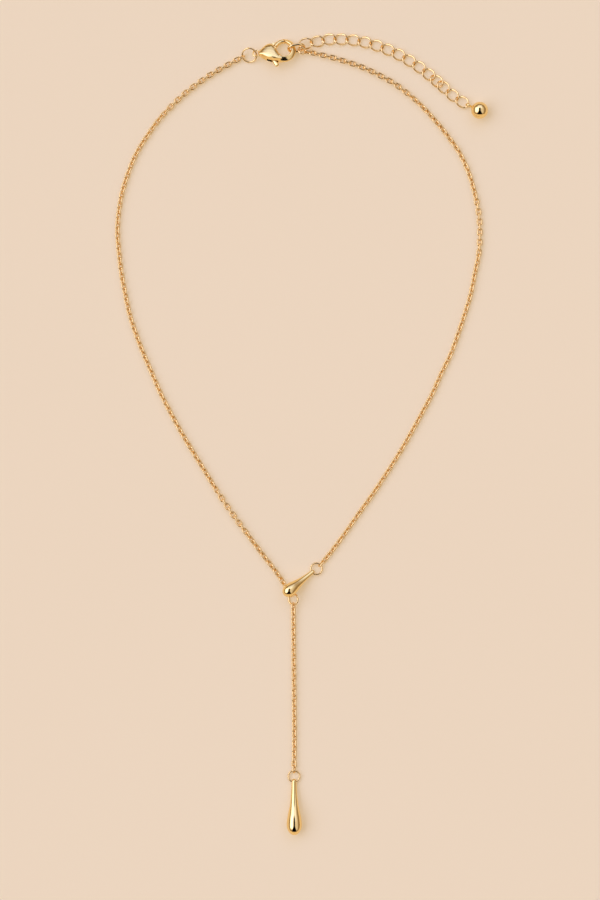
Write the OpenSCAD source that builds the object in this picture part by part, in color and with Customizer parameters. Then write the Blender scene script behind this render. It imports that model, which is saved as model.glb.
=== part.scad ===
// Lariat necklace lying flat on a table: a clasped neck loop of fine cable chain with a long
// extender, a small drop over the junction, and a teardrop that hangs from a short chain.
// Millimetres. X runs across the necklace and Y along it, the table is z = 0.

/* [Fine chain] */
// Outer length of a fine link
link_l = 2.52; // [2.4:0.02:3]
// Outer width of a fine link
link_w = 1.75; // [1.6:0.05:2.1]
// Wire of a fine link
link_wire = 0.46; // [0.36:0.02:0.5]
// Play of a fine link in its neighbour
link_play = 0.1; // [0.06:0.01:0.2]

/* [Extender] */
// Outer length of an extender link
ext_l = 4.6; // [4.4:0.05:5]
// Outer width of an extender link
ext_w = 3.55; // [3.4:0.05:3.8]
// Wire of an extender link
ext_wire = 0.46; // [0.36:0.02:0.5]
// Play of an extender link in its neighbour
ext_play = 0.08; // [0.06:0.01:0.2]
// Twist of the extender links, from their middle to either end
ext_twist = 32; // [28:1:38]
// Shortfall where two extender links lie pushed together
ext_bunch = 1.35; // [0:0.05:1.6]
// Diameter of the end ball
ball_d = 5.1; // [4.4:0.1:6]
// Bare length of the ball's neck
ball_neck = 0.45; // [0.3:0.05:1]

/* [Rings] */
// Wire of the jump rings
ring_wire = 0.54; // [0.46:0.02:0.58]
// Outer diameter of the jump rings at the drops and the junction
ring_d = 3.9; // [3.7:0.05:4.2]
// Outer diameter of the ring in the clasp's eye
clasp_ring_d = 4.85; // [4.6:0.05:5]
// Outer diameter of the small ring on the right strand
chain_ring_d = 3.05; // [2.9:0.05:3.3]
// Wire of the oval connector ring
conn_wire = 0.8; // [0.7:0.02:0.86]
// Outer length of the oval connector ring
conn_l = 5.5; // [5.3:0.05:5.8]
// Outer width of the oval connector ring
conn_w = 3.8; // [3.7:0.05:4]

/* [Clasp] */
// Thickness of the claw's round section
claw_wire = 1.4; // [1.2:0.02:1.44]
// Radius of the claw's curve, to the middle of its section
claw_r = 2.85; // [2.75:0.05:3]
// Thickness of the gate's round section
gate_wire = 1.1; // [1:0.02:1.2]
// Thickness of the lever's flat plate
plate_t = 0.9; // [0.7:0.05:1]
// Gap between the lever and the cheeks of the body
plate_gap = 0.12; // [0.08:0.02:0.2]
// Diameter of the rivet pin
pin_d = 0.8; // [0.7:0.05:1]
// Clearance of the lever on its pin, on the radius
pin_gap = 0.05; // [0.03:0.01:0.08]
// Length of the thumb tab outside the body
tab_l = 1.4; // [1.2:0.05:1.8]
// Thickness of the thumb tab
tab_d = 1.0; // [0.8:0.05:1.1]
// Middle radius of the clasp's eye
eye_r = 0.96; // [0.92:0.02:1.04]
// Wire of the clasp's eye
eye_wire = 0.44; // [0.4:0.01:0.48]
// Seam between the gate's tip and the claw's tip
seam = 0.16; // [0.12:0.02:0.24]

/* [Drops] */
// Length of the pendant
pendant_l = 16.8; // [15:0.2:19]
// Diameter of the pendant's bulb
pendant_d = 4.62; // [4.3:0.02:5]
// Length of the small drop
small_l = 12; // [11.6:0.1:12.4]
// Diameter of the small drop's bulb
small_d = 3.96; // [3.8:0.02:4.1]
// Slack of a jump ring in the hole through a drop's tip, on the radius
hole_slack = 0.17; // [0.15:0.01:0.19]
// Middle radius of the loop under the small drop's bulb
loop_r = 0.6; // [0.56:0.02:0.7]
// Wire of the loop under the small drop's bulb
loop_wire = 0.4; // [0.34:0.02:0.44]

/* [Hidden] */
$fn = 48;
ext_count = 16;

// Curved ways. A way is a short list of points, smoothed, with the length run at each step.
steps = 8;
function along(a, b, c, d, t) =
    0.5 * (2 * b + (c - a) * t + (2 * a - 5 * b + 4 * c - d) * t ^ 2
        + (3 * b - 3 * c + d - a) * t ^ 3);
function smooth(p) = [
    for (i = [0:len(p) - 2], k = [0:steps - 1])
        along(p[max(i - 1, 0)], p[i], p[i + 1], p[min(i + 2, len(p) - 1)], k / steps),
    p[len(p) - 1]
];
function run(q) = [
    for (i = 0, s = 0; i < len(q); s = s + (i + 1 < len(q) ? norm(q[i + 1] - q[i]) : 0), i = i + 1) s
];
function table(q, s, axis) = [for (i = [0:len(q) - 1]) [s[i], q[i][axis]]];
function way_of(q) = let (s = run(q)) [table(q, s, 0), table(q, s, 1), table(q, s, 2), s[len(s) - 1]];
function way(points) = way_of(smooth(points));
function way_length(w) = w[3];
function spot(w, s) = [lookup(s, w[0]), lookup(s, w[1]), lookup(s, w[2])];
function aim(w, s) = let (d = spot(w, s + 0.3) - spot(w, s - 0.3)) d / norm(d);

// Height of a chain's middle above the table, when its links lean by this angle
function rest_height(lean, w, wire) =
    max(abs(sin(lean)), abs(cos(lean))) * (w - wire) / 2 + wire / 2;

// Turn of a vector by the angles that rotate() takes
function about_x(v, a) = [v.x, v.y * cos(a) - v.z * sin(a), v.y * sin(a) + v.z * cos(a)];
function about_y(v, a) = [v.x * cos(a) + v.z * sin(a), v.y, v.z * cos(a) - v.x * sin(a)];
function about_z(v, a) = [v.x * cos(a) - v.y * sin(a), v.x * sin(a) + v.y * cos(a), v.z];
function turned(v, a) = about_z(about_y(about_x(v, a.x), a.y), a.z);

// Clasp: its own frame has the claw to the right along u, the gate side up along v
clasp_turn = [-18, 0, 4];
clasp_xy = [-9.05, 113.9];
neck_uv = [-3.3, 0.3];
neck_r = 0.75;
shoulder_uv = [-0.5, 1.4];
shoulder_r = 1.75;
shoulder_t = 1.45;
belly_uv = [-0.8, -0.75];
belly_r = 1.35;
belly_t = 1.25;
heel_uv = [1.6, -1.35];
heel_r = 1.3;
heel_t = 1.2;
claw_uv = [4.05, 0.8];
eye_uv = [-4.35, 0.36];
pin_uv = [0.2, 1.4];
pin_l = 2.3;
claw_tip = 86;
claw_root = -128;
seam_slant = 42;
gate_root = 152;
gate_neck = 124;
plate_r = 1.1;
gate_knee = [0.85, 3.45];
tab_uv = [0.95, -2.5];
tab_aim = -61;
shoulder_drop = norm([shoulder_r * sin(clasp_turn.x), shoulder_t * cos(clasp_turn.x)])
    - shoulder_uv.y * sin(clasp_turn.x);
clasp_at = [clasp_xy.x, clasp_xy.y, shoulder_drop];
function in_clasp(uv) = clasp_at + turned([uv.x, uv.y, 0], clasp_turn);

// Ring in the clasp's eye: where its wire crosses, from the middle of the eye
eye_seat = [0, 0];
clasp_ring_r = (clasp_ring_d - ring_wire) / 2;
clasp_ring_turn = [23, -14, 12];
clasp_ring_at = in_clasp(eye_uv + eye_seat) - turned([clasp_ring_r, 0, 0], clasp_ring_turn);

// Oval connector ring, round the claw
conn_turn = [56.5, 0, 10];
conn_at = [-1.41, 115.6, (conn_w - conn_wire) / 2 * sin(conn_turn.x) + conn_wire / 2];
conn_end = conn_at + turned([(conn_l - conn_wire) / 2, 0, 0], conn_turn);

// Small ring between the connector ring and the right strand
chain_ring_r = (chain_ring_d - ring_wire) / 2;
chain_ring_turn = [-33, 0, -30];
chain_ring_shift = [-0.46, -0.99, -0.65];
chain_hook_aim = 12;
chain_ring_at = conn_end + chain_ring_shift;

// Ways of the chains, chosen by hand: x, y and the lift above the resting height
left_points = [
    [-24.6, 109.2, 0], [-29.4, 106.2, 0], [-34.9, 102, 0], [-41.1, 96, 0], [-45.7, 90, 0],
    [-49.4, 84, 0], [-51.9, 78, 0], [-53.7, 72, 0], [-54.7, 66, 0], [-55, 60, 0],
    [-54.5, 54, 0], [-53.8, 48, 0], [-52.7, 42, 0], [-51.4, 36, 0], [-49.5, 30, 0],
    [-47.2, 24, 0], [-44.6, 18, 0], [-42, 12, 0], [-38.9, 6, 0], [-35.6, 0, 0],
    [-32, -6, 0], [-28.3, -12, 0], [-24.6, -18, 0], [-20.5, -24, 0], [-16.1, -30, 0],
    [-11.6, -36, 0], [-7, -42, 0]
];
right_points = [
    [6.8, 113.5, 0], [12.3, 112, 0], [18.5, 109.9, 0], [23.8, 107.4, 0], [28.9, 104.4, 0],
    [35.5, 99, 0], [40.6, 93.5, 0], [44.6, 88.5, 0], [47.7, 84, 0], [50.4, 78, 0],
    [52.1, 72, 0], [53.3, 66, 0], [53.6, 60, 0], [53.3, 54, 0], [52.1, 48, 0],
    [50.9, 42, 0], [49.1, 36, 0], [47.1, 30, 0], [44.9, 24, 0], [42, 18, 0],
    [39.3, 12, 0], [36.1, 6, 0], [32.8, 0, 0], [29.3, -6, 0], [25.5, -12, 0],
    [21.5, -18, 0], [17.2, -24, 0], [13, -30, 0], [8.5, -36, 0]
];
drop_points = [[-2.2, -62, 0], [-2.1, -74, 0], [-2, -86, 0], [-2, -94, 0]];
ext_points = [
    [1.43, 116.93, 0.86], [5, 117.65, 0.17], [8.3, 118.3, 0], [15.4, 118.1, 0], [22.2, 116.6, 0],
    [28.8, 114, 0], [35.3, 110.1, 0], [40.7, 105.8, 0], [45.3, 101.7, 0], [48.4, 99.5, 0.15], [50.9, 98.1, 0.4],
    [53.4, 96.7, 0.6], [60, 93.2, 0.8]
];

// Where the strands hook on. Each end is the middle of a ring's wire.
hook_lean = 66;
hook_height = rest_height(hook_lean, link_w, link_wire);
ring_r = (ring_d - ring_wire) / 2;
tip_share = 0.33;

tip_cover = 0.15;

pendant_aim = -89.6;
pendant_ring_xy = [-2.1, -102.6];
pendant_hook_r = tip_share * pendant_d / 2;
pendant_ring_at = [pendant_ring_xy.x, pendant_ring_xy.y, (hook_height + pendant_hook_r) / 2];
pendant_ring_turn = [asin((hook_height - pendant_hook_r) / (2 * ring_r)), 0, 0];

small_ring_at = [4.65, -40.4, hook_height];
small_aim = -142;
small_hook = small_ring_at + ring_r * [cos(small_aim), sin(small_aim), 0];
small_ring_turn = [0, 0, 0];

junction_lean = 36;
junction_at = [-2.3, -49.55, ring_r * sin(junction_lean) + ring_wire / 2];
junction_turn = [0, -junction_lean, 0];
junction_top = junction_at + turned([0, ring_r, 0], junction_turn);
junction_foot = junction_at + turned([0, -ring_r, 0], junction_turn);
left_hook_aim = 125;
left_hook = junction_at + turned(ring_r * [cos(left_hook_aim), sin(left_hook_aim), 0], junction_turn);

function lifted(p) = [p.x, p.y, max(p.z - hook_height, 0)];
clasp_hook = clasp_ring_at - turned([clasp_ring_r, 0, 0], clasp_ring_turn);
chain_hook = chain_ring_at
    + turned(chain_ring_r * [cos(chain_hook_aim), sin(chain_hook_aim), 0], chain_ring_turn);
right_hook_aim = 48;
right_hook = small_ring_at + ring_r * [cos(right_hook_aim), sin(right_hook_aim), 0];
left_way = way(concat([lifted(clasp_hook)], left_points, [lifted(left_hook)]));
right_way = way(concat([lifted(chain_hook)], right_points, [lifted(right_hook)]));
drop_way = way(concat([lifted(junction_foot)], drop_points,
    [lifted(pendant_ring_at + turned([0, ring_r, 0], pendant_ring_turn))]));
ext_way = way(ext_points);

pitch = link_l - 2 * link_wire - link_play;
hook_in = link_l / 2 - link_wire - ring_wire / 2 - link_play;
function link_count(w) = 2 * round((way_length(w) - 2 * hook_in) / pitch / 2) + 1;
function link_at(w, i) = hook_in + i * (way_length(w) - 2 * hook_in) / (link_count(w) - 1);

// How far every first link leans where the strand has run s: rows of s and degrees, joined
// smoothly. At 45 the links lean both ways, and at 90 or 0 every second link lies flat.
right_lean = [[0, 65], [6, 86], [30, 88], [40, 46], [68, 44], [76, 88], [84, 86], [92, 46],
    [120, 44], [150, 50], [191, 45], [194, 66]];
drop_lean = [[0, -52], [6, -45], [24, -40], [44, -45], [49, -66]];
function lean_at(s, rows) =
    let (i = max([for (k = [0:len(rows) - 2]) if (k == 0 || rows[k][0] <= s) k]),
        t = min(max((s - rows[i][0]) / (rows[i + 1][0] - rows[i][0]), 0), 1))
    rows[i][1] + (rows[i + 1][1] - rows[i][1]) * t * t * (3 - 2 * t);

// Shape of a drop: share of its length from the tip, and share of its bulb's radius
drop_form = [[0.05, tip_share], [0.16, 0.35], [0.26, 0.39], [0.37, 0.47], [0.48, 0.59],
    [0.58, 0.74], [0.67, 0.88], [0.75, 0.97], [0.81, 1]];
cap_share = 1 - drop_form[len(drop_form) - 1][0];

// A wire ring lying in the XY plane
module ring(d, wire) {
    rotate_extrude()
        translate([(d - wire) / 2, 0]) circle(d = wire, $fn = 24);
}

// A long wire link lying in the XY plane, its length along X
module oval(l, w, wire, sides = 16) {
    for (end = [0, 180])
        rotate([0, 0, end])
            translate([(l - w) / 2, 0, 0])
                rotate([0, 0, -90])
                    rotate_extrude(angle = 180)
                        translate([(w - wire) / 2, 0]) circle(d = wire, $fn = sides);
    for (side = [-1, 1])
        translate([(w - l) / 2, side * (w - wire) / 2, 0])
            rotate([0, 90, 0]) cylinder(d = wire, h = l - w, $fn = sides);
}

// Puts a piece where a way has run s, with the height added and the lean about the way
module on_way(w, s, height, lean) {
    at = spot(w, s);
    d = aim(w, s);
    translate([at.x, at.y, max(at.z, 0) + height])
        rotate([lean, -asin(d.z), atan2(d.y, d.x)]) children();
}

module links(w, leans, first, last) {
    for (i = [first:last]) {
        s = link_at(w, i);
        lean = lean_at(s, leans);
        on_way(w, s, rest_height(lean, link_w, link_wire), lean + 90 * (i % 2))
            oval(link_l, link_w, link_wire);
    }
}

module right_chain_upper() {
    color("gold") links(right_way, right_lean, 0, floor(link_count(right_way) / 2) - 1);
}

module right_chain_lower() {
    color("gold")
        links(right_way, right_lean, floor(link_count(right_way) / 2), link_count(right_way) - 1);
}

module drop_chain() {
    color("gold") links(drop_way, drop_lean, 0, link_count(drop_way) - 1);
}

// The left strand as one plain tube along its way
tube_sides = 8;
tube_rings = 76;
tube_d = 1.4;
tube_inset = [0.5, 1.9];
function tube_spot(k) = tube_inset[0]
    + k * (way_length(left_way) - tube_inset[0] - tube_inset[1]) / (tube_rings - 1);
function tube_point(k, j) =
    let (s = tube_spot(k), d = aim(left_way, s), a = 360 * (j + 0.5) / tube_sides,
        out = tube_d / 2 / cos(180 / tube_sides))
    spot(left_way, s) + [0, 0, tube_d / 2]
        + about_z(about_y([0, out * cos(a), out * sin(a)], -asin(d.z)), atan2(d.y, d.x));
module left_chain() {
    points = [for (k = [0:tube_rings - 1], j = [0:tube_sides - 1]) tube_point(k, j)];
    last = (tube_rings - 1) * tube_sides;
    color("gold") polyhedron(points, concat(
        [[for (j = [0:tube_sides - 1]) j]],
        [for (k = [0:tube_rings - 2], j = [0:tube_sides - 1])
            let (a = k * tube_sides, b = (j + 1) % tube_sides)
            [a + j, a + tube_sides + j, a + tube_sides + b, a + b]],
        [[for (j = [tube_sides - 1:-1:0]) last + j]]
    ));
}

// Extender: every link is an oval twisted along its length, so that it lies with its neighbours,
// and one lies pushed up to the links beside it
ext_pitch = ext_l - 2 * ext_wire - ext_play;
ext_rings = 28;
ext_sides = 8;
ext_r = (ext_w - ext_wire) / 2;
ext_side = ext_l - ext_w;
ext_half = ext_side + PI * ext_r;
function ext_oval(s) =
    let (back = s >= ext_half, t = back ? s - ext_half : s, a = max(t - ext_side, 0) / ext_r * 180 / PI,
        p = [min(t, ext_side) - ext_side / 2 + ext_r * sin(a), -ext_r * cos(a)])
    back ? -p : p;
function ext_turn(p) = ext_twist * p.x * 2 / (ext_l - ext_wire);
function ext_wire_at(s) = let (p = ext_oval((s + 2 * ext_half) % (2 * ext_half)))
    [p.x, p.y * cos(ext_turn(p)), p.y * sin(ext_turn(p))];
function ext_corner(k, j) =
    let (s = 2 * ext_half * k / ext_rings, o = ext_wire_at(s), d = ext_wire_at(s + 0.1) - ext_wire_at(s - 0.1),
        turn = ext_turn(o), side = cross([0, -sin(turn), cos(turn)], d), up = cross(d, side), a = 360 * j / ext_sides)
    o + ext_wire / 2 * (cos(a) * side / norm(side) + sin(a) * up / norm(up));
ext_height = max([for (k = [0:ext_rings - 1]) ext_wire_at(2 * ext_half * k / ext_rings).z]) + ext_wire / 2 + 0.02;
bunched_link = 13;
bunch_share = 0.33;
function ext_spot(i) = (i - 1) * ext_pitch
    - (i < bunched_link ? 0 : i == bunched_link ? bunch_share : 1) * ext_bunch;
module extender_link(i) {
    points = [for (k = [0:ext_rings - 1], j = [0:ext_sides - 1]) ext_corner(k, j)];
    color("gold") on_way(ext_way, ext_spot(i), ext_height, 0)
        polyhedron(points, [for (k = [0:ext_rings - 1], j = [0:ext_sides - 1])
            let (a = k * ext_sides, b = (k + 1) % ext_rings * ext_sides, n = (j + 1) % ext_sides)
            [a + j, b + j, b + n, a + n]]);
}

// The ball's eye stands upright round the last link's wire
ball_eye_r = 0.75;
ball_eye_wire = 0.5;
ball_eye_s = ext_spot(ext_count) + (ext_l - ext_wire) / 2
    + ball_eye_r - ball_eye_wire / 2 - ext_wire / 2 - ext_play;
ball_eye_at = spot(ext_way, ball_eye_s) + [0, 0, ext_height];
ball_reach = ball_eye_r + ball_eye_wire / 2 + ball_neck + ball_d / 2;
ball_rise = asin((ball_d / 2 - ball_eye_at.z) / ball_reach);
ball_heading = atan2(aim(ext_way, ball_eye_s + 2).y, aim(ext_way, ball_eye_s + 2).x);
module extender_ball() {
    color("gold") translate(ball_eye_at) rotate([0, -ball_rise, ball_heading]) {
        rotate([90, 0, 0]) ring(2 * ball_eye_r + ball_eye_wire, ball_eye_wire);
        translate([ball_eye_r, 0, 0]) rotate([0, 90, 0])
            cylinder(d = ball_eye_wire, h = ball_reach - ball_eye_r - ball_d / 4);
        translate([ball_reach, 0, 0]) sphere(d = ball_d);
    }
}

module clasp_ring() {
    color("gold") translate(clasp_ring_at) rotate(clasp_ring_turn) ring(clasp_ring_d, ring_wire);
}

module connector_ring() {
    color("gold") translate(conn_at) rotate(conn_turn) oval(conn_l, conn_w, conn_wire, 32);
}

module chain_ring() {
    color("gold") translate(chain_ring_at) rotate(chain_ring_turn) ring(chain_ring_d, ring_wire);
}

module small_drop_ring() {
    color("gold") translate(small_ring_at) rotate(small_ring_turn) ring(ring_d, ring_wire);
}

module junction_ring() {
    color("gold") translate(junction_at) rotate(junction_turn) ring(ring_d, ring_wire);
}

module pendant_ring() {
    color("gold") translate(pendant_ring_at) rotate(pendant_ring_turn) ring(ring_d, ring_wire);
}

// A teardrop on the X axis, its hole at the origin and its bulb at +X. The hole runs along Y.
function form_point(i, t) = along(drop_form[max(i - 1, 0)], drop_form[i], drop_form[i + 1],
    drop_form[min(i + 2, len(drop_form) - 1)], t);
module teardrop(l, d, hole_d) {
    r = d / 2;
    tip_r = tip_share * r;
    hole_in = tip_r + tip_cover;
    profile = concat(
        [for (a = [0:15:75]) [tip_r * sin(a), drop_form[0][0] * l * (1 - cos(a))]],
        [for (i = [0:len(drop_form) - 2], k = [0:2]) let (p = form_point(i, k / 3)) [p[1] * r, p[0] * l]],
        [for (a = [0:10:90]) [r * cos(a), l * (1 - cap_share * (1 - sin(a)))]]
    );
    difference() {
        translate([-hole_in, 0, 0]) rotate([0, 90, 0]) rotate_extrude() polygon(profile);
        rotate([90, 0, 0]) cylinder(d = hole_d, h = 2 * d, center = true);
    }
}

// The pendant lies on its tip and its bulb
pendant_rise = max([for (row = drop_form) if (row[0] > 0.5)
    asin((row[1] * pendant_d / 2 - pendant_hook_r) / (row[0] * pendant_l - pendant_hook_r - tip_cover))]);
module pendant() {
    color("gold")
        translate(pendant_ring_at - turned([0, ring_r, 0], pendant_ring_turn))
            rotate([0, -pendant_rise, pendant_aim])
                teardrop(pendant_l, pendant_d, ring_wire + 2 * hole_slack);
}

// The small drop slopes up over the strand, and its loop hangs round the junction ring's top
small_hook_r = tip_share * small_d / 2;
bulb_share = 0.84;
bulb_lift = 0.85;
small_bulb_run = small_l * bulb_share - small_hook_r - tip_cover;
small_bulb_z = junction_top.z + bulb_lift * (loop_r + small_d / 2);
small_rise = asin((small_bulb_z - small_hook.z) / small_bulb_run);
small_bulb = small_hook + small_bulb_run * turned([1, 0, 0], [0, -small_rise, small_aim]);
module small_drop() {
    from = junction_top - small_bulb;
    color("gold") {
        translate(small_hook) rotate([0, -small_rise, small_aim])
            teardrop(small_l, small_d, ring_wire + 2 * hole_slack);
        translate(junction_top) rotate([0, 90 - junction_lean, 0]) ring(2 * loop_r + loop_wire, loop_wire);
        translate(small_bulb) rotate([0, acos(from.z / norm(from)), atan2(from.y, from.x)])
            cylinder(d = loop_wire, h = norm(from) - loop_r);
    }
}

// Clasp body: two cheeks with the lever's slot between them, the eye, the claw and the pin
module lobe(uv, r, t) {
    translate([uv.x, uv.y, 0]) scale([1, 1, t / r]) sphere(r, $fn = 32);
}

// Cuts the claw's curve off at the slanted seam: side 1 takes the claw's side away, -1 the gate's
module seam_cut(side) {
    size = 1.12 * claw_r;
    translate(claw_r * [cos(claw_tip), sin(claw_tip), 0]) rotate([0, 0, claw_tip - 90 + seam_slant])
        translate([side > 0 ? -seam / 2 : seam / 2 - size, -size / 2, -size / 2]) cube(size);
}

module claw_arc(wire, from, to) {
    rotate([0, 0, from]) rotate_extrude(angle = to - from)
        translate([claw_r, 0]) circle(d = wire, $fn = 32);
}

module clasp_body() {
    color("gold") translate(clasp_at) rotate(clasp_turn) {
        difference() {
            union() {
                difference() {
                    hull() {
                        lobe(neck_uv, neck_r, neck_r);
                        lobe(shoulder_uv, shoulder_r, shoulder_t);
                        lobe(belly_uv, belly_r, belly_t);
                        lobe(heel_uv, heel_r, heel_t);
                    }
                    translate(claw_uv) claw_arc(gate_wire + 2 * plate_gap, claw_tip, gate_root + 13);
                }
                translate(claw_uv) difference() {
                    claw_arc(claw_wire, claw_root, claw_tip + 30);
                    seam_cut(-1);
                }
            }
            plate_room();
        }
        translate([pin_uv.x, pin_uv.y, 0]) cylinder(d = pin_d, h = pin_l, center = true);
        translate([eye_uv.x, eye_uv.y, 0]) ring(2 * eye_r + eye_wire, eye_wire);
    }
}

// Room for the lever's plate, open at the top for the gate and at the bottom for the tab
module plate_room() {
    h = max(plate_t, tab_d) + 2 * plate_gap;
    translate([0, 0, -h / 2]) linear_extrude(h) {
        translate(pin_uv) circle(plate_r + 2 * plate_gap);
        polygon([pin_uv - [plate_r + 2 * plate_gap, 0], pin_uv + [-0.9, 1], [0, 4.4], [2.5, 4.4],
            [3.3, 1.2], [1.85, -0.4], [2, -3.6], [-2.1, -3.6]]);
    }
}

// A round-ended rod on the Z axis, its ends' middles at 0 and at this length
module capsule(d, l) {
    rotate_extrude() polygon(concat(
        [for (a = [-90:15:0]) d / 2 * [cos(a), sin(a)]],
        [for (a = [0:15:90]) d / 2 * [cos(a), sin(a)] + [0, l]]
    ));
}

// Lever: gate, plate and thumb tab in one, on the pin
module clasp_lever() {
    tab_side = 0.38 * tab_d * [-sin(tab_aim), cos(tab_aim)];
    tab_way = [cos(tab_aim), sin(tab_aim)];
    gate_end = [cos(gate_root - 8), sin(gate_root - 8)];
    inner_r = 0.92 * plate_r;
    color("goldenrod") translate(clasp_at) rotate(clasp_turn) {
        difference() {
            union() {
                translate([0, 0, -plate_t / 2]) linear_extrude(plate_t) {
                    translate(pin_uv) circle(plate_r);
                    polygon([pin_uv + [-0.2, inner_r], gate_knee,
                        claw_uv + (claw_r + 0.38 * gate_wire) * [cos(gate_neck), sin(gate_neck)],
                        claw_uv + claw_r * gate_end, claw_uv + (claw_r - 0.38 * gate_wire) * gate_end,
                        pin_uv + [inner_r, -0.2], pin_uv]);
                    polygon([pin_uv, pin_uv - [inner_r, 0.3], [-0.2, -1.2],
                        tab_uv - tab_side + 0.13 * tab_way, tab_uv - tab_side + 0.4 * tab_way,
                        tab_uv + tab_side + 0.4 * tab_way, tab_uv + tab_side + 0.13 * tab_way,
                        [1, -1.6], pin_uv + [inner_r, -0.3]]);
                }
                translate(claw_uv) difference() {
                    claw_arc(gate_wire, claw_tip - 30, gate_root);
                    seam_cut(1);
                }
                translate(tab_uv) rotate([0, 90, tab_aim]) capsule(tab_d, tab_l);
            }
            translate(pin_uv) cylinder(d = pin_d + 2 * pin_gap, h = 2 * plate_t, center = true);
        }
    }
}

clasp_body();
clasp_lever();
clasp_ring();
connector_ring();
chain_ring();
for (i = [1:ext_count])
    extender_link(i);
extender_ball();
left_chain();
right_chain_upper();
right_chain_lower();
small_drop_ring();
small_drop();
junction_ring();
drop_chain();
pendant_ring();
pendant();
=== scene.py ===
import math
import random

import bmesh
import bpy
import numpy as np
from mathutils import Euler, Matrix, Vector


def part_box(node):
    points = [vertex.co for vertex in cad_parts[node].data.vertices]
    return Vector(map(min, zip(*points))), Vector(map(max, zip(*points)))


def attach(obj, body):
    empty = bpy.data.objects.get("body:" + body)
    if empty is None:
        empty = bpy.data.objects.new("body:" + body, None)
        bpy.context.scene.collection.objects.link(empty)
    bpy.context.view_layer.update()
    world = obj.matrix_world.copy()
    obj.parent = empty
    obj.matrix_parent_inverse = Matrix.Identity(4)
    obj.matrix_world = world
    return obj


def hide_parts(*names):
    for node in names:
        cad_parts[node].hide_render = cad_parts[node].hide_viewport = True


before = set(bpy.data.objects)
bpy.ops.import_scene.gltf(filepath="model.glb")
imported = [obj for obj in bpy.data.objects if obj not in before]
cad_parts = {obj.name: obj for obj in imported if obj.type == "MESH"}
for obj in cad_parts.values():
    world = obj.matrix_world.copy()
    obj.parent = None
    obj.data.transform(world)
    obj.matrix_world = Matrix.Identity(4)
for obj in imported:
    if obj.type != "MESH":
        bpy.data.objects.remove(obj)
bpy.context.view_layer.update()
random.seed(7)


# Helpers for places and turns. Everything is in metres and degrees.

waySteps = 8
aimStep = 0.0003


def turnMatrix(degrees):
    return np.array(Euler([math.radians(d) for d in degrees], "XYZ").to_matrix())


def aimTurn(d):
    # The turns about Y and Z that bring the X axis to a direction
    return -math.degrees(math.asin(d[2])), math.degrees(math.atan2(d[1], d[0]))


def middleOf(node):
    low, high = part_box(node)
    return np.array((low + high) / 2)


def smoothRows(rows, steps):
    # Catmull-Rom through rows of any number of values
    p = np.array(rows, float)
    line = []
    for i in range(len(p) - 1):
        a, b, c, d = p[max(i - 1, 0)], p[i], p[i + 1], p[min(i + 2, len(p) - 1)]
        for t in np.linspace(0, 1, steps, endpoint=False):
            line.append(0.5 * (2 * b + (c - a) * t + (2 * a - 5 * b + 4 * c - d) * t ** 2
                               + (3 * b - 3 * c + d - a) * t ** 3))
    return np.array(line + [p[-1]])


def smoothWay(points):
    # A smooth line through the points, with the length run at each of its steps
    line = smoothRows(points, waySteps)
    run = np.concatenate([[0], np.cumsum(np.linalg.norm(np.diff(line, axis=0), axis=1))])
    return {"line": line, "run": run, "length": run[-1]}


def spotOn(way, s):
    return np.array([np.interp(s, way["run"], way["line"][:, axis]) for axis in range(3)])


def aimOn(way, s):
    d = spotOn(way, s + aimStep) - spotOn(way, s - aimStep)
    return d / np.linalg.norm(d)


def placeOn(way, s, height, lean):
    # Turn and place of a link where the way has run s, leaning about the way
    d = aimOn(way, s)
    at = spotOn(way, s)
    return turnMatrix((lean, *aimTurn(d))), np.array([at[0], at[1], max(at[2], 0) + height])


# Mesh helpers

def makeObject(name, shape):
    verts, faces = shape
    mesh = bpy.data.meshes.new(name)
    mesh.from_pydata([tuple(v) for v in verts], [], [tuple(int(i) for i in f) for f in faces])
    made = bpy.data.objects.new(name, mesh)
    bpy.context.scene.collection.objects.link(made)
    return made


def makePiece(name, shape):
    # A smooth piece that stays with the necklace
    piece = makeObject(name, shape)
    piece.data.validate()
    piece.data.polygons.foreach_set("use_smooth", [True] * len(piece.data.polygons))
    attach(piece, "necklace")
    return piece


def bakeModifiers(piece):
    view = bpy.context.evaluated_depsgraph_get()
    baked = bpy.data.meshes.new_from_object(piece.evaluated_get(view))
    piece.modifiers.clear()
    piece.data = baked


def cutWith(piece, *cutters):
    for cutter in cutters:
        cut = piece.modifiers.new("cut", "BOOLEAN")
        cut.operation = "DIFFERENCE"
        cut.solver = "EXACT"
        cut.object = cutter
        bakeModifiers(piece)


def tubeFaces(count, sides, closed):
    # Faces round and along rows of points, with a cap at each end where the tube isn't closed
    faces = []
    for i in range(count if closed else count - 1):
        j = (i + 1) % count
        for k in range(sides):
            m = (k + 1) % sides
            faces.append((i * sides + k, j * sides + k, j * sides + m, i * sides + m))
    if not closed:
        faces.append(tuple(range(sides)))
        faces.append(tuple(reversed(range((count - 1) * sides, count * sides))))
    return faces


def sweep(centres, outs, wide, high, sides=16, closed=True, power=1.0, slope=0.0):
    # Tube round flat middle lines: half widths along the outward way, half heights along Z.
    # A slope makes it higher at its inner side and lower at its outer side.
    a = np.linspace(0, 2 * math.pi, sides, endpoint=False)
    across = np.sign(np.cos(a)) * np.abs(np.cos(a)) ** power
    upward = np.sign(np.sin(a)) * np.abs(np.sin(a)) ** power * (1 - slope * across)
    up = np.array([0, 0, 1.0])
    verts = (centres[:, None] + outs[:, None] * (wide[:, None] * across[None])[..., None]
             + up * (high[:, None] * upward[None])[..., None]).reshape(-1, 3)
    return verts, tubeFaces(len(centres), sides, closed)


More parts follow.
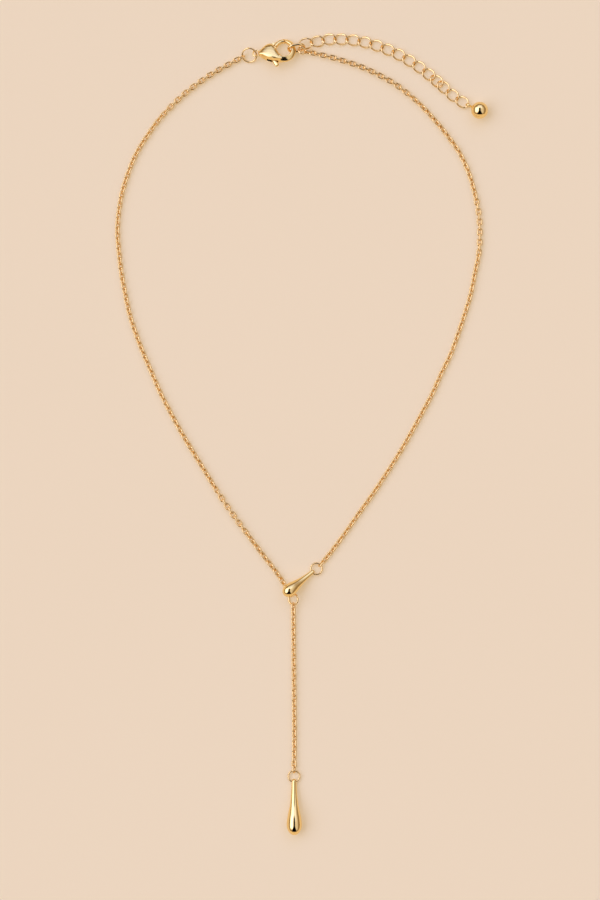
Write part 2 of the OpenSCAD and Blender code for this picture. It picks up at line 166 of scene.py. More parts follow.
def roundLoop(radius, wire, around=96, sides=20, seam=0.0, seamAt=0.0):
    # A wire ring in the XY plane, with its butt seam open by the given length
    half = seam / radius / 2
    closed = seam == 0
    a = math.radians(seamAt) + np.linspace(half, 2 * math.pi - half, around, endpoint=not closed)
    outs = np.stack([np.cos(a), np.sin(a), 0 * a], 1)
    r = np.full(around, wire / 2)
    return sweep(outs * radius, outs, r, r, sides, closed)


def ovalLoop(length, width, wire, around=40, sides=14):
    # A long link in the XY plane, its length along X
    radius = (width - wire) / 2
    reach = (length - width) / 2
    quarter = around // 4
    right = np.linspace(-math.pi / 2, math.pi / 2, 2 * quarter)
    a = np.concatenate([right, right + math.pi])
    shift = np.concatenate([np.full(len(right), reach), np.full(len(right), -reach)])
    outs = np.stack([np.cos(a), np.sin(a), 0 * a], 1)
    centres = outs * radius
    centres[:, 0] += shift
    r = np.full(len(a), wire / 2)
    return sweep(centres, outs, r, r, sides)


def copies(template, places):
    # One mesh of many placed copies of a template
    verts, faces = template
    count = len(verts)
    faces = np.array(faces)
    allVerts = [verts @ turn.T + at for turn, at in places]
    allFaces = [faces + i * count for i in range(len(places))]
    return np.concatenate(allVerts), np.concatenate(allFaces)


def revolve(profile, sides=96):
    # A closed solid round the X axis from rows of distance along X and radius
    rows = [(x, r) for x, r in profile if r > 0]
    a = np.linspace(0, 2 * math.pi, sides, endpoint=False)
    verts = [(x, r * math.cos(t), r * math.sin(t)) for x, r in rows for t in a]
    faces = []
    for i in range(len(rows) - 1):
        for k in range(sides):
            m = (k + 1) % sides
            faces.append((i * sides + k, i * sides + m, (i + 1) * sides + m, (i + 1) * sides + k))
    first, last = len(verts), len(verts) + 1
    verts += [(profile[0][0], 0, 0), (profile[-1][0], 0, 0)]
    top = (len(rows) - 1) * sides
    for k in range(sides):
        m = (k + 1) % sides
        faces.append((first, m, k))
        faces.append((last, top + k, top + m))
    return np.array(verts), faces


def placed(shape, turn, at):
    verts, faces = shape
    return verts @ turn.T + np.array(at), faces


def joined(*shapes):
    verts, faces, base = [], [], 0
    for v, f in shapes:
        verts.append(np.array(v))
        faces += [tuple(i + base for i in face) for face in f]
        base += len(v)
    return np.concatenate(verts), faces


# Rings: sizes and turns of the CAD's wire rings, each in the middle of its node's box

jumpWire = 0.00054
seamGap = 0.00003
rings = {
    "clasp_ring": {"outer": 0.00485, "turn": (23, -14, 12), "seamAt": 80},
    "chain_ring": {"outer": 0.00305, "turn": (-33, 0, -30), "seamAt": 200},
    "small_drop_ring": {"outer": 0.0039, "turn": (0, 0, 0), "seamAt": 120},
    "junction_ring": {"outer": 0.0039, "turn": (0, -36, 0), "seamAt": 20},
    "pendant_ring": {"outer": 0.0039, "turn": (0.97, 0, 0), "seamAt": 160},
}
connector = {"length": 0.0055, "width": 0.0038, "wire": 0.0008, "turn": (56.5, 0, 10)}


def ringHook(node, aim):
    # Middle of a ring's wire at an angle in the ring's own plane
    ring = rings[node]
    radius = (ring["outer"] - jumpWire) / 2
    a = math.radians(aim)
    inRing = radius * np.array([math.cos(a), math.sin(a), 0])
    return middleOf(node) + turnMatrix(ring["turn"]) @ inRing


def buildRings():
    for node, ring in rings.items():
        radius = (ring["outer"] - jumpWire) / 2
        shape = roundLoop(radius, jumpWire, seam=seamGap, seamAt=ring["seamAt"])
        piece = makePiece(node.replace("_", " ").title().replace(" ", ""),
                          placed(shape, turnMatrix(ring["turn"]), middleOf(node)))
        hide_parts(node)
        wireRings.append(piece)
    oval = ovalLoop(connector["length"], connector["width"], connector["wire"], 96, 24)
    shape = placed(oval, turnMatrix(connector["turn"]), middleOf("connector_ring"))
    piece = makePiece("ConnectorRing", shape)
    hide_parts("connector_ring")
    wireRings.append(piece)


# Fine chain: the strands' points are the CAD's: x, y and the lift above the resting height

leftPoints = [
    (-0.0246, 0.1092, 0), (-0.0294, 0.1062, 0), (-0.0349, 0.102, 0), (-0.0411, 0.096, 0),
    (-0.0457, 0.09, 0), (-0.0494, 0.084, 0), (-0.0519, 0.078, 0), (-0.0537, 0.072, 0),
    (-0.0547, 0.066, 0), (-0.055, 0.06, 0), (-0.0545, 0.054, 0), (-0.0538, 0.048, 0),
    (-0.0527, 0.042, 0), (-0.0514, 0.036, 0), (-0.0495, 0.03, 0), (-0.0472, 0.024, 0),
    (-0.0446, 0.018, 0), (-0.042, 0.012, 0), (-0.0389, 0.006, 0), (-0.0356, 0, 0),
    (-0.032, -0.006, 0), (-0.0283, -0.012, 0), (-0.0246, -0.018, 0), (-0.0205, -0.024, 0),
    (-0.0161, -0.03, 0), (-0.0116, -0.036, 0), (-0.007, -0.042, 0),
]
rightPoints = [
    (0.0068, 0.1135, 0), (0.0123, 0.112, 0), (0.0185, 0.1099, 0), (0.0238, 0.1074, 0),
    (0.0289, 0.1044, 0), (0.0355, 0.099, 0), (0.0406, 0.0935, 0), (0.0446, 0.0885, 0),
    (0.0477, 0.084, 0), (0.0504, 0.078, 0), (0.0521, 0.072, 0), (0.0533, 0.066, 0),
    (0.0536, 0.06, 0), (0.0533, 0.054, 0), (0.0521, 0.048, 0), (0.0509, 0.042, 0),
    (0.0491, 0.036, 0), (0.0471, 0.03, 0), (0.0449, 0.024, 0), (0.042, 0.018, 0),
    (0.0393, 0.012, 0), (0.0361, 0.006, 0), (0.0328, 0, 0), (0.0293, -0.006, 0),
    (0.0255, -0.012, 0), (0.0215, -0.018, 0), (0.0172, -0.024, 0), (0.013, -0.03, 0),
    (0.0085, -0.036, 0),
]
dropPoints = [(-0.0022, -0.062, 0), (-0.0021, -0.074, 0), (-0.002, -0.086, 0), (-0.002, -0.094, 0)]

fineLink = {"length": 0.0026, "width": 0.00175, "wire": 0.0005, "play": 0.00006, "wobble": 2.5}
# Lean of the strand's links: rows of length run, in metres, and degrees
leftLean = [(0, 66), (0.006, 86), (0.024, 88), (0.032, 46), (0.15, 45), (0.156, 86), (0.164, 86),
            (0.17, 46), (0.188, 46), (0.191, 66)]
rightLean = [(0, 65), (0.006, 86), (0.03, 88), (0.04, 46), (0.068, 44), (0.076, 88), (0.084, 86),
             (0.092, 46), (0.12, 44), (0.15, 50), (0.191, 45), (0.194, 66)]
dropLean = [(0, -52), (0.006, -45), (0.024, -40), (0.044, -45), (0.049, -66)]
hookLean = 66


def leanAt(s, rows):
    i = max(k for k in range(len(rows) - 1) if k == 0 or rows[k][0] <= s)
    t = min(max((s - rows[i][0]) / (rows[i + 1][0] - rows[i][0]), 0), 1)
    return rows[i][1] + (rows[i + 1][1] - rows[i][1]) * t * t * (3 - 2 * t)


def restHeight(lean):
    a = math.radians(lean)
    half = (fineLink["width"] - fineLink["wire"]) / 2
    return max(abs(math.sin(a)), abs(math.cos(a))) * half + fineLink["wire"] / 2


def lifted(point):
    return (point[0], point[1], max(point[2] - restHeight(hookLean), 0))


def chainPlaces(way, leans):
    link = fineLink
    pitch = link["length"] - 2 * link["wire"] - link["play"]
    hookIn = link["length"] / 2 - link["wire"] - jumpWire / 2 - link["play"]
    between = way["length"] - 2 * hookIn
    gaps = 2 * round(between / pitch / 2)
    places = []
    for i in range(gaps + 1):
        s = hookIn + i * between / gaps
        lean = leanAt(s, leans)
        wobble = random.uniform(-1, 1) * link["wobble"] if 1 < i < gaps - 1 else 0
        places.append(placeOn(way, s, restHeight(lean), lean + 90 * (i % 2) + wobble))
    return places


def strandWay(start, points, end):
    # A strand's way between two rings, each end given as a node and an angle in its plane
    return smoothWay([lifted(ringHook(*start))] + points + [lifted(ringHook(*end))])


def buildStrands():
    template = ovalLoop(fineLink["length"], fineLink["width"], fineLink["wire"], 36, 12)
    leftWay = strandWay(("clasp_ring", 180), leftPoints, ("junction_ring", 125))
    rightWay = strandWay(("chain_ring", 12), rightPoints, ("small_drop_ring", 48))
    dropWay = strandWay(("junction_ring", -90), dropPoints, ("pendant_ring", 90))
    rightPlaces = chainPlaces(rightWay, rightLean)
    half = len(rightPlaces) // 2
    for name, node, places in (
        ("LeftStrand", "left_chain", chainPlaces(leftWay, leftLean)),
        ("RightStrandUpper", "right_chain_upper", rightPlaces[:half]),
        ("RightStrandLower", "right_chain_lower", rightPlaces[half:]),
        ("DropStrand", "drop_chain", chainPlaces(dropWay, dropLean)),
    ):
        piece = makePiece(name, copies(template, places))
        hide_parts(node)
        strands.append(piece)
        print(name, len(places), "links")


# Extender: large links, each twisted along its length, and the ball at the end

extenderPoints = [
    (0.00143, 0.11693, 0.00086), (0.005, 0.11765, 0.00017), (0.0083, 0.1183, 0), (0.0154, 0.1181, 0),
    (0.0222, 0.1166, 0), (0.0288, 0.114, 0), (0.0353, 0.1101, 0), (0.0407, 0.1058, 0),
    (0.0453, 0.1017, 0), (0.0484, 0.0995, 0.00015), (0.0509, 0.0981, 0.0004), (0.0534, 0.0967, 0.0006),
    (0.06, 0.0932, 0.0008),
]
extender = {"count": 16, "length": 0.0047, "width": 0.0036, "wire": 0.00054, "play": 0.00002,
            "twist": 32, "bunch": 0.00135, "bunchedLink": 13, "bunchShare": 0.33, "rest": 0.00002}
ball = {"outer": 0.0051, "neck": 0.0002, "swing": 3, "aimAhead": 0.002, "eyeRadius": 0.00078,
        "eyeWire": 0.00062, "stemThin": 0.00025, "stemThick": 0.00031, "flare": 0.0002,
        "collar": 0.00052, "collarFrom": 0.00012, "collarTo": 0.00008, "root": 0.0003,
        "rootDepth": 0.0004}
twistProbe = 0.02


def extenderRun(i):
    e = extender
    pitch = e["length"] - 2 * e["wire"] - e["play"]
    pushed = 0 if i < e["bunchedLink"] else e["bunchShare"] if i == e["bunchedLink"] else 1
    return (i - 1) * pitch - pushed * e["bunch"]


def twistedLoop(length, width, wire, twist, around=96, sides=18):
    # An elliptical link in the XY plane whose wire is turned about X, more towards either end
    def spot(a):
        turn = math.radians(twist) * math.cos(a)
        x = (length - wire) / 2 * math.cos(a)
        y = (width - wire) / 2 * math.sin(a)
        return np.array([x, y * math.cos(turn), y * math.sin(turn)]), turn

    verts = []
    for i in range(around):
        a = 2 * math.pi * i / around
        at, turn = spot(a)
        ahead = spot(a + twistProbe)[0] - spot(a - twistProbe)[0]
        side = np.cross((0, -math.sin(turn), math.cos(turn)), ahead)
        up = np.cross(ahead, side)
        side, up = side / np.linalg.norm(side), up / np.linalg.norm(up)
        for k in range(sides):
            a = 2 * math.pi * k / sides
            verts.append(at + wire / 2 * (math.cos(a) * side + math.sin(a) * up))
    return np.array(verts), tubeFaces(around, sides, True)


def buildExtender():
    e = extender
    way = smoothWay(extenderPoints)
    template = twistedLoop(e["length"], e["width"], e["wire"], e["twist"])
    height = template[0][:, 2].max() + e["rest"]
    for i in range(1, e["count"] + 1):
        turn, at = placeOn(way, extenderRun(i), height, 0)
        piece = makePiece(f"ExtenderLink{i}", placed(template, turn, at))
        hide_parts(f"extender_link_{i}")
        extenderLinks.append(piece)
    buildBall(way, height)


def buildBall(way, height):
    # The ball with its upright eye on the last link
    e, b = extender, ball
    eyeS = (extenderRun(e["count"]) + (e["length"] - e["wire"]) / 2 + b["eyeRadius"]
            - b["eyeWire"] / 2 - e["wire"] / 2 - e["play"])
    eyeAt = spotOn(way, eyeS) + np.array([0, 0, height])
    r = b["outer"] / 2
    reach = b["eyeRadius"] + b["eyeWire"] / 2 + b["neck"] + r
    rise = math.degrees(math.asin((r - eyeAt[2]) / reach))
    heading = aimTurn(aimOn(way, eyeS + b["aimAhead"]))[1] + b["swing"]
    turn = turnMatrix((0, -rise, heading))
    sphere = [(reach - r * math.cos(a), max(r * math.sin(a), 0)) for a in np.linspace(0, math.pi, 65)]
    eye = placed(roundLoop(b["eyeRadius"], b["eyeWire"], 64, 18), turnMatrix((90, 0, 0)), (0, 0, 0))
    stemStart = b["eyeRadius"] - b["eyeWire"] / 4
    stemEnd = reach - r
    stem = [(stemStart, 0), (stemStart, b["stemThin"]), (stemStart + b["flare"], b["stemThick"]),
            (stemEnd - b["flare"], b["stemThick"]), (stemEnd - b["collarFrom"], b["collar"]),
            (stemEnd + b["collarTo"], b["collar"]), (stemEnd + b["rootDepth"], b["root"]),
            (stemEnd + b["rootDepth"], 0)]
    shape = joined(revolve(sphere, 128), eye, revolve(stem, 48))
    piece = makePiece("ExtenderBall", placed(shape, turn, eyeAt))
    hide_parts("extender_ball")
    drops.append(piece)


# Drops: rows of the share of the length from the tip, and of the bulb's radius

dropForm = [(0.05, 0.33), (0.16, 0.35), (0.26, 0.39), (0.37, 0.47), (0.48, 0.59), (0.58, 0.74),
            (0.67, 0.88), (0.75, 0.97), (0.81, 1)]
pendant = {"length": 0.0168, "bulb": 0.00462, "aim": -89.6}
smallDrop = {"length": 0.012, "bulb": 0.00396, "aim": -142, "bulbShare": 0.84, "bulbLift": 0.85,
             "loopRadius": 0.0006, "loopWire": 0.0004, "junctionLean": 36}
tipCover = 0.00015
holePlay = 0.00017
holeReach = 0.003
bulbFrom = 0.5
tipSteps, flankSteps, endSteps = 12, 6, 30


def dropProfile(length, bulb):
    # Rounded tip, curved flank and rounded end, from the middle of the hole
    r = bulb / 2
    tip = dropForm[0][1] * r
    start = dropForm[0][0] * length
    holeIn = tip + tipCover
    quarter = np.linspace(0, math.pi / 2, tipSteps, endpoint=False)
    rows = [(start * (1 - math.cos(a)), tip * math.sin(a)) for a in quarter]
    rows += [(a * length, b * r) for a, b in smoothRows(dropForm, flankSteps)[:-1]]
    cap = 1 - dropForm[-1][0]
    quarter = np.linspace(0, math.pi / 2, endSteps)
    rows += [(length * (1 - cap * (1 - math.sin(a))), r * math.cos(a)) for a in quarter]
    rows[-1] = (rows[-1][0], 0)
    return [(x - holeIn, y) for x, y in rows]


def boreTip(piece, at, turn):
    # The ring's hole through the tip, along the drop's own Y axis
    radius = jumpWire / 2 + holePlay
    hole = revolve([(-holeReach, 0), (-holeReach, radius), (holeReach, radius), (holeReach, 0)], 48)
    cutter = makeObject("bore", placed(hole, turn @ turnMatrix((0, 0, 90)), at))
    cutWith(piece, cutter)
    bpy.data.objects.remove(cutter)


def buildPendant():
    p = pendant
    hook = ringHook("pendant_ring", -90)
    tip = dropForm[0][1] * p["bulb"] / 2
    # It rises towards the bulb, so that its flank lies no lower than its tip
    rise = max(math.degrees(math.asin((b * p["bulb"] / 2 - tip) / (a * p["length"] - tip - tipCover)))
               for a, b in dropForm if a > bulbFrom)
    turn = turnMatrix((0, -rise, p["aim"]))
    piece = makePiece("Pendant", placed(revolve(dropProfile(p["length"], p["bulb"])), turn, hook))
    boreTip(piece, hook, turn)
    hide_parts("pendant")
    drops.append(piece)


def buildSmallDrop():
    p = smallDrop
    hook = ringHook("small_drop_ring", p["aim"])
    ringTop = ringHook("junction_ring", 90)
    tip = dropForm[0][1] * p["bulb"] / 2
    run = p["length"] * p["bulbShare"] - tip - tipCover
    bulbHeight = ringTop[2] + p["bulbLift"] * (p["loopRadius"] + p["bulb"] / 2)
    rise = math.degrees(math.asin((bulbHeight - hook[2]) / run))
    turn = turnMatrix((0, -rise, p["aim"]))
    bulb = hook + run * turn[:, 0]
    piece = makePiece("SmallDrop", placed(revolve(dropProfile(p["length"], p["bulb"])), turn, hook))
    boreTip(piece, hook, turn)
    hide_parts("small_drop")
    drops.append(piece)
    # The loop under the bulb hangs round the junction ring's top
    away = ringTop - bulb
    far = np.linalg.norm(away)
    wire = p["loopWire"] / 2
    stem = revolve([(0, 0), (0, wire), (far - p["loopRadius"], wire), (far - p["loopRadius"], 0)], 24)
    loop = roundLoop(p["loopRadius"], p["loopWire"], 64, 16)
    loopTurn = turnMatrix((0, 90 - p["junctionLean"], 0))
    stemTurn = turnMatrix((0, *aimTurn(away / far)))
    shape = joined(placed(stem, stemTurn, bulb), placed(loop, loopTurn, ringTop))
    drops.append(makePiece("SmallDropLoop", shape))


# Clasp: u runs from the eye to the claw and v to the gate's side, in the clasp's own frame. It is
# modelled a thousand times too large, because a voxel has a smallest size.

enlarge = 1000
clasp = {
    "at": (-0.00905, 0.1139, 0.001914), "turn": (-18, 0, 4),
    "eye": (-0.00435, 0.00036), "eyeRadius": 0.00096, "eyeWire": 0.00044,
    "pin": (0.0002, 0.0014), "pinRadius": 0.0004, "pinLength": 0.0023,
    "clawOuter": (0.00405, 0.0008, 0.00355), "clawInner": (0.00405, 0.00095, 0.0021), "clawMiddle": 2.85,
    "clawRoot": -128, "seamAt": 86, "seamSlant": 42, "seam": 0.00015, "gateRoot": 152, "gateNeck": 124,
    "plate": 0.0009, "plateGap": 0.00012, "plateRadius": 0.0011,
    "tab": (0.00095, -0.0025), "tabAim": -61, "tabLength": 0.0014, "tabWire": 0.00102,
    # The lengths from here on are in the enlarged frame
    "sag": 0.25, "tabBroad": 1.3, "corner": 0.75, "leverDrop": 0.3, "voxel": 0.05, "rounding": 3,
    "clawHigh": (0.98, 0.86, 0.76, 0.76), "highUntil": 160, "clawSlope": 0.45, "clawPast": 30,
    "gateRoomHigh": (0.86,) * 4, "gateRoomPast": 13, "gateRoomPlay": 0.1,
    "blockSize": 1.12, "blockHalf": 3,
}
# The lever, in the enlarged frame: its plate's corners, and the gate on it
lever = {
    "rim": 0.95, "armShift": 0.2, "knee": (0.85, 3.45), "neckOut": 3.27, "gateOut": 2.85,
    "gateIn": 2.43, "gateCut": 8,
    "legShift": 0.3, "heel": (-0.2, -1.2), "toe": (1, -1.6), "tabSide": 0.42, "tabRoot": 0.4,
    "gateHigh": (0.74,) * 4, "gateShrink": 0.08, "gateSlope": 0.15, "gatePast": 30,
}
# Rows of the shield: edge on the gate's side, crease over the tab, outer edge, half thickness
shieldRows = [
    ((-0.00375, 0.00085), (-0.00375, 0.00015), (-0.00375, -0.00015), 0.0004),
    ((-0.0034, 0.00105), (-0.0034, -0.0001), (-0.0034, -0.00045), 0.0007),
    ((-0.0022, 0.00215), (-0.0024, -0.0005), (-0.0024, -0.0013), 0.0011),
    ((-0.0009, 0.00305), (-0.0011, -0.0014), (-0.001, -0.0022), 0.00135),
    ((0.0002, 0.00315), (0.0001, -0.00185), (0.0003, -0.0026), 0.00145),
    ((0.001, 0.00255), (0.001, -0.0021), (0.0012, -0.0028), 0.00145),
    ((0.0016, 0.0014), (0.0017, -0.0022), (0.0019, -0.00288), 0.00135),
    ((0.0023, 0.0001), (0.0024, -0.00225), (0.0026, -0.0029), 0.0012),
    ((0.003, -0.0008), (0.0031, -0.0022), (0.0033, -0.0029), 0.00105),
    ((0.0036, -0.0013), (0.0037, -0.002), (0.0038, -0.00275), 0.0009),
]
# The shield's section: the share of the way from the gate's edge to the crease, then on to the
# outer edge, and of the thickness
shieldSection = [
    (0, 0, 0), (0.01, 0, 0.2), (0.03, 0, 0.36), (0.08, 0, 0.52), (0.16, 0, 0.65), (0.3, 0, 0.8),
    (0.5, 0, 0.92), (0.68, 0, 0.98), (0.82, 0, 1), (0.93, 0, 0.99), (0.985, 0, 0.94), (1, 0, 0.86),
    (1, 0.08, 0.76), (1, 0.3, 0.56), (1, 0.6, 0.28), (1, 0.9, -0.04), (1, 1, -0.24), (1, 0.96, -0.46),
    (1, 0.8, -0.64), (1, 0.4, -0.82), (0.95, 0, -0.92), (0.7, 0, -0.98), (0.5, 0, -0.92),
    (0.3, 0, -0.8), (0.16, 0, -0.65), (0.08, 0, -0.52), (0.03, 0, -0.36), (0.01, 0, -0.2),
]
shieldSteps = 6
# Outline of the room for the lever between the shield's cheeks
roomOutline = [(-0.00114, 0.0014), (-0.0007, 0.0024), (0, 0.0044), (0.0025, 0.0044), (0.0033, 0.0012),
               (0.00185, -0.0004), (0.002, -0.0036), (-0.00128, -0.0036), (-0.00125, -0.001)]


def enlarged(values):
    return tuple(enlarge * v for v in values)


def shieldShape():
    rows = smoothRows([(*enlarged(a), *enlarged(b), *enlarged(c), enlarge * half)
                       for a, b, c, half in shieldRows], shieldSteps)
    verts = []
    for row in rows:
        edge, crease, outer = row[0:2], row[2:4], row[4:6]
        for a, b, high in shieldSection:
            verts.append((*(edge + (crease - edge) * a + (outer - crease) * b), high * row[6]))
    return np.array(verts), tubeFaces(len(rows), len(shieldSection), False)


def hookShape(start, end, high, shrink=0.0, slope=0.0, steps=72):
    # The claw's curve between two circles, thick below and thin at the tip
    ou, ov, outer = enlarged(clasp["clawOuter"])
    iu, iv, inner = enlarged(clasp["clawInner"])
    a = np.radians(np.linspace(start, end, steps))
    outs = np.stack([np.cos(a), np.sin(a), 0 * a], 1)
    sag = np.stack([0 * a, np.minimum(np.sin(a), 0) * clasp["sag"], 0 * a], 1)
    outerEdge = np.array([ou, ov, 0]) + outs * (outer - shrink) + sag
    innerEdge = np.array([iu, iv, 0]) + outs * (inner + shrink) + sag
    centres = (outerEdge + innerEdge) / 2
    across = outerEdge - innerEdge
    wide = np.linalg.norm(across, axis=1) / 2
    outs = across / (2 * wide)[:, None]
    highAt = [clasp["clawRoot"], 0, clasp["seamAt"], clasp["highUntil"]]
    tall = np.interp(np.linspace(start, end, steps), highAt, high)
    return sweep(centres, outs, wide, tall, 40, False, clasp["corner"], slope)


def prism(outline, half):
    count = len(outline)
    verts = [(x, y, -half) for x, y in outline] + [(x, y, half) for x, y in outline]
    faces = [tuple(reversed(range(count))), tuple(range(count, 2 * count))]
    faces += [(i, (i + 1) % count, (i + 1) % count + count, i + count) for i in range(count)]
    return np.array(verts), faces


def rod(start, end, radius, sides=32, roundEnds=True):
    # A rod with round or flat ends between two points
    start, end = Vector(start), Vector(end)
    length = (end - start).length
    if roundEnds:
        quarter = np.linspace(0, math.pi / 2, 9)
        rows = [(-radius * math.cos(a), radius * math.sin(a)) for a in quarter]
        rows += [(length + radius * math.sin(a), radius * math.cos(a)) for a in quarter]
        rows[0], rows[-1] = (rows[0][0], 0), (rows[-1][0], 0)
    else:
        rows = [(0, 0), (0, radius), (length, radius), (length, 0)]
    turn = np.array((end - start).to_track_quat("X", "Z").to_matrix())
    return placed(revolve(rows, sides), turn, start)


def solid(shape, name):
    # A part of a casting, with its faces turned outward
    made = makeObject(name, shape)
    bm = bmesh.new()
    bm.from_mesh(made.data)
    bmesh.ops.recalc_face_normals(bm, faces=bm.faces)
    bm.to_mesh(made.data)
    bm.free()
    return made


def castPiece(name, parts, body):
    # Joins the parts in one voxel mesh, softens it as a casting is, and brings it back to its size
    mesh = bpy.data.meshes.new(name)
    bm = bmesh.new()
    for part in parts:
        bm.from_mesh(part.data)
    bm.to_mesh(mesh)
    bm.free()
    piece = bpy.data.objects.new(name, mesh)
    bpy.context.scene.collection.objects.link(piece)
    remesh = piece.modifiers.new("remesh", "REMESH")
    remesh.mode = "VOXEL"
    remesh.voxel_size = clasp["voxel"]
    remesh.use_smooth_shade = True
    soften = piece.modifiers.new("soften", "SMOOTH")
    soften.factor = 0.5
    soften.iterations = clasp["rounding"]
    bakeModifiers(piece)
    turn = Euler([math.radians(d) for d in clasp["turn"]], "XYZ")
    piece.data.transform(Matrix.LocRotScale(Vector(clasp["at"]), turn, Vector((1 / enlarge,) * 3)))
    for part in parts:
        bpy.data.objects.remove(part)
    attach(piece, body)
    castings.append(piece)
    return piece


def seamBlock(side):
    # A block over everything on one side of the slanted seam
    ou, ov, _ = enlarged(clasp["clawOuter"])
    middle = clasp["clawMiddle"]
    a = math.radians(clasp["seamAt"])
    size = clasp["blockSize"] * middle
    half = clasp["seam"] * enlarge / 2
    shift = -half if side > 0 else half - size
    corners = [(shift + x * size, y * size / 2) for x, y in ((0, -1), (1, -1), (1, 1), (0, 1))]
    turn = math.radians(clasp["seamAt"] - 90 + clasp["seamSlant"])
    outline = [(ou + middle * math.cos(a) + x * math.cos(turn) - y * math.sin(turn),
                ov + middle * math.sin(a) + x * math.sin(turn) + y * math.cos(turn)) for x, y in corners]
    return solid(prism(outline, clasp["blockHalf"]), "seam")


def buildClaspBody():
    c = clasp
    shield = solid(shieldShape(), "shield")
    # The lever's room lies low, so that the front cheek covers it
    half = (max(c["plate"], c["tabWire"]) / 2 + c["plateGap"]) * enlarge
    roomShape = prism([enlarged(p) for p in roomOutline], half)
    room = solid(placed(roomShape, np.eye(3), (0, 0, -c["leverDrop"])), "room")
    gateRoom = solid(hookShape(c["seamAt"], c["gateRoot"] + c["gateRoomPast"], c["gateRoomHigh"],
                               -c["gateRoomPlay"]), "gateRoom")
    cutWith(shield, gateRoom, room)
    claw = solid(hookShape(c["clawRoot"], c["seamAt"] + c["clawPast"], c["clawHigh"],
                           slope=c["clawSlope"]), "claw")
    block = seamBlock(-1)
    cutWith(claw, block, room)
    eyeLoop = roundLoop(c["eyeRadius"] * enlarge, c["eyeWire"] * enlarge, 64, 20)
    eye = solid(placed(eyeLoop, np.eye(3), (*enlarged(c["eye"]), 0)), "eye")
    u, v = enlarged(c["pin"])
    long = c["pinLength"] * enlarge / 2
    pin = solid(rod((u, v, -long), (u, v, long), c["pinRadius"] * enlarge, roundEnds=False), "pin")
    piece = castPiece("ClaspBody", [shield, claw, eye, pin], "necklace")
    for tool in (room, gateRoom, block):
        bpy.data.objects.remove(tool)
    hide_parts("clasp_body")


def leverOutlines():
    # The plate's disc on the pin, its arm to the gate and its leg to the tab
    c, plate = clasp, lever
    u, v = enlarged(c["pin"])
    r = c["plateRadius"] * enlarge
    rim = plate["rim"] * r
    a = math.radians(c["tabAim"])
    root = plate["tabRoot"] * np.array([math.cos(a), math.sin(a)])
    side = plate["tabSide"] * c["tabWire"] * enlarge * np.array([-math.sin(a), math.cos(a)])
    tab = np.array(enlarged(c["tab"]))
    hook = np.array(enlarged(c["clawOuter"][:2]))
    end = math.radians(c["gateRoot"] - plate["gateCut"])
    gateEnd = np.array([math.cos(end), math.sin(end)])
    neck = math.radians(c["gateNeck"])
    gateNeck = np.array([math.cos(neck), math.sin(neck)])
    around = np.linspace(0, 2 * math.pi, 64, endpoint=False)
    disc = [(u + r * math.cos(t), v + r * math.sin(t)) for t in around]
    arm = [(u - plate["armShift"], v + rim), plate["knee"], tuple(hook + plate["neckOut"] * gateNeck),
           tuple(hook + plate["gateOut"] * gateEnd), tuple(hook + plate["gateIn"] * gateEnd),
           (u + rim, v - plate["armShift"]), (u, v)]
    leg = [(u, v), (u - rim, v - plate["legShift"]), plate["heel"], tuple(tab - side),
           tuple(tab - side + root), tuple(tab + side + root), tuple(tab + side), plate["toe"],
           (u + rim, v - plate["legShift"])]
    return disc, arm, leg


def buildClaspLever():
    c = clasp
    drop = np.array([0, 0, -c["leverDrop"]])
    half = c["plate"] * enlarge / 2
    parts = [solid(placed(prism(outline, half), np.eye(3), drop), "plate")
             for outline in leverOutlines()]
    gate = solid(hookShape(c["seamAt"] - lever["gatePast"], c["gateRoot"], lever["gateHigh"],
                           lever["gateShrink"], lever["gateSlope"]), "gate")
    block = seamBlock(1)
    cutWith(gate, block)
    # The thumb tab is a rod, broader in the clasp's plane than it is thick
    verts, faces = rod((0, 0, 0), (c["tabLength"] * enlarge, 0, 0), c["tabWire"] * enlarge / 2)
    tabTurn = turnMatrix((0, 0, c["tabAim"]))
    thumb = solid(placed((verts * (1, c["tabBroad"], 1), faces), tabTurn,
                         drop + (*enlarged(c["tab"]), 0)), "thumb")
    piece = castPiece("ClaspLever", parts + [gate, thumb], "lever")
    bpy.data.objects.remove(block)
    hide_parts("clasp_lever")


# Materials

castTone = {"bright": (0.98, 0.73, 0.32), "deep": (0.95, 0.66, 0.24)}
wireTone = {"bright": (0.97, 0.71, 0.32), "deep": (0.86, 0.48, 0.13)}
finishes = {
    "castGold": {"gold": castTone, "lacquer": 0, "Low": 0.1, "High": 0.17, "Scale": 900, "Tone": 0.35,
                 "bump": 0.05, "Marks": 5200},
    "dropGold": {"gold": castTone, "lacquer": 0, "Low": 0.055, "High": 0.1, "Scale": 500, "Tone": 0.25,
                 "bump": 0.03, "Marks": 4200},
    "wireGold": {"gold": wireTone, "lacquer": 0.7, "Low": 0.08, "High": 0.15, "Scale": 1400, "Tone": 0.4,
                 "bump": 0.05, "Marks": 7000},
    "chainGold": {"gold": wireTone, "lacquer": 0.7, "Low": 0.09, "High": 0.17, "Scale": 2200,
                  "Tone": 0.5, "bump": 0.06, "Marks": 9000},
}
finishInputs = ("Tone", "Scale", "Marks", "Low", "High")
polishLook = {"driftDetail": 3, "marksDetail": 5, "marksTwist": 0.6, "stretch": (1, 0.35, 1),
              "marksFrom": 0.3, "marksTo": 0.7, "bumpDepth": 0.00002}
lacquerLook = {"roughness": 0.06, "ior": 1.7}


